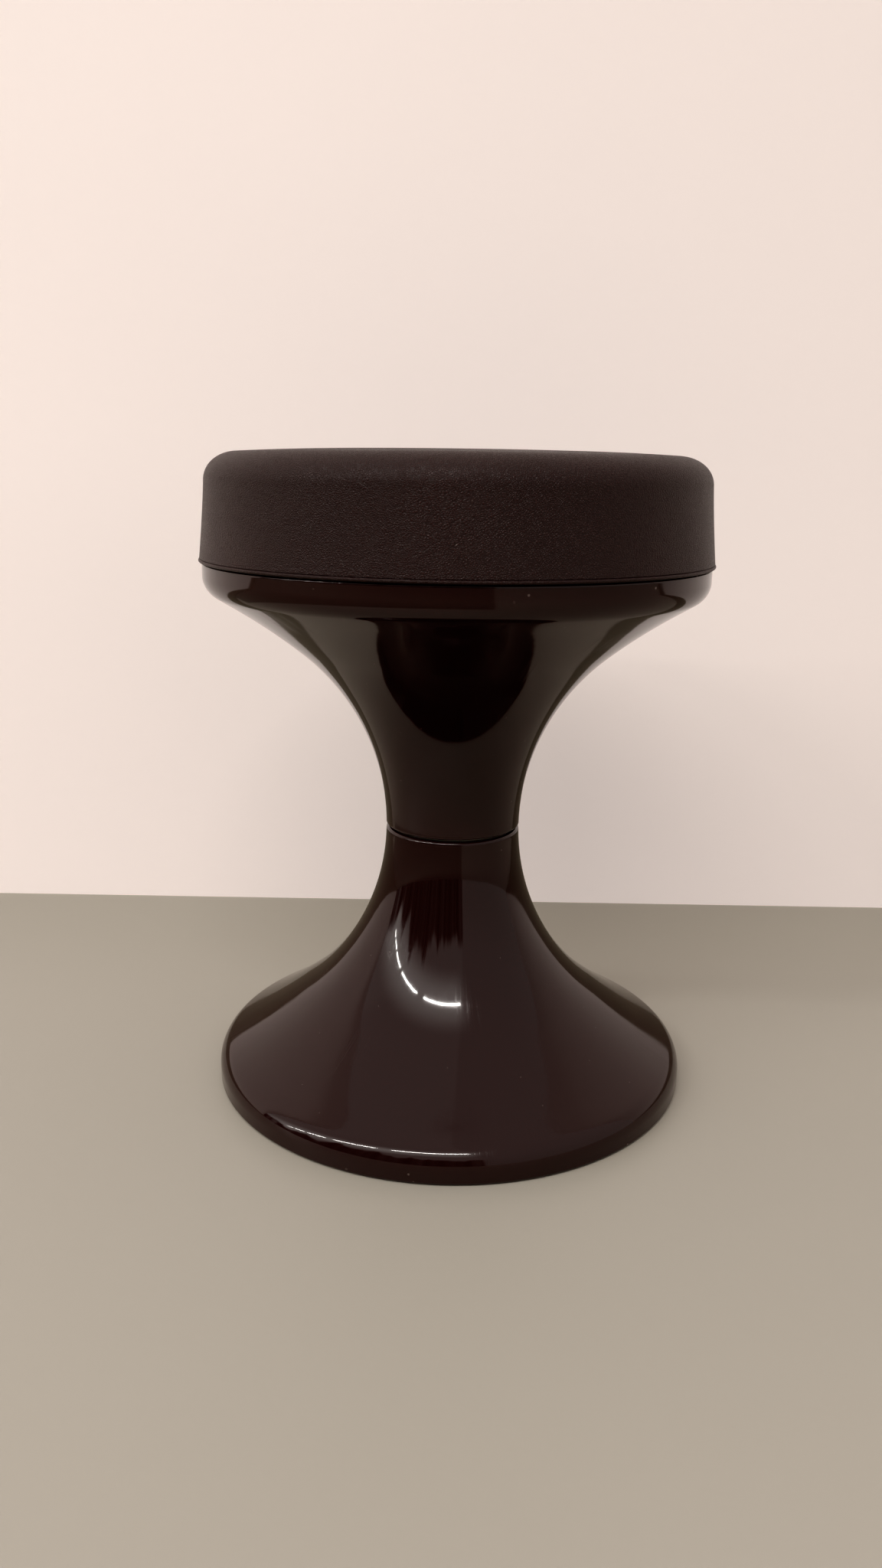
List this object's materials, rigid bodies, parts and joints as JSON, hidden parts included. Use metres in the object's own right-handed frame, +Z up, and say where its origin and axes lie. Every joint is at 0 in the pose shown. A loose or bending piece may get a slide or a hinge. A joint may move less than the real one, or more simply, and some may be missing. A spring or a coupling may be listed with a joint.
{
  "type": "swivel storage stool",
  "caption": "Low hourglass stool: two glossy trumpet shells joined by a swivel at the waist, with a padded lift-off lid over a storage bowl.",
  "frame": {"origin": "on the floor, on the stool's vertical axis", "axes": "+Z up along the swivel axis; +X towards one of the feet; +Y completes a right-handed frame"},
  "size_m": [0.334, 0.334, 0.4292],
  "materials": {
    "shell_plastic": "polished, very dark maroon",
    "cap_plastic": "satin moulded",
    "seat_vinyl": "matte grained vinyl, dark aubergine brown",
    "foot_rubber": "matte black",
    "zinc_steel": "bright zinc plated",
    "acetal": "natural white, smooth",
    "plywood": "raw plywood",
    "foam": "open-cell foam",
    "liner_fabric": "black spunbond"
  },
  "bodies": {
    "base": {"base_shell": "shell_plastic", "rubber_feet": "foot_rubber", "pivot_bolt": "zinc_steel", "bolt_head_washer": "zinc_steel", "pivot_sleeve": "zinc_steel", "thrust_ring": "acetal", "top_washer": "zinc_steel", "spring_washer": "zinc_steel", "lock_nut": "zinc_steel", "nut_insert": "acetal"},
    "bowl": {"bowl_shell": "shell_plastic", "pivot_bush": "acetal", "nut_cap": "cap_plastic"},
    "lid": {"locating_ring": "cap_plastic", "ring_screws": "zinc_steel", "cover_staples": "zinc_steel", "underside_liner": "liner_fabric", "seat_board": "plywood", "seat_foam": "foam", "seat_cover": "seat_vinyl"}
  },
  "joints": [
    {"name": "seat_swivel", "type": "hinge", "parent": "base", "child": "bowl", "pos_m": [0, 0, 0.18], "axis": [0, 0, 1], "continuous": true},
    {"name": "lid_lift", "type": "slide", "parent": "bowl", "child": "lid", "axis": [0, 0, 1], "range_m": [0, 0.2]}
  ]
}
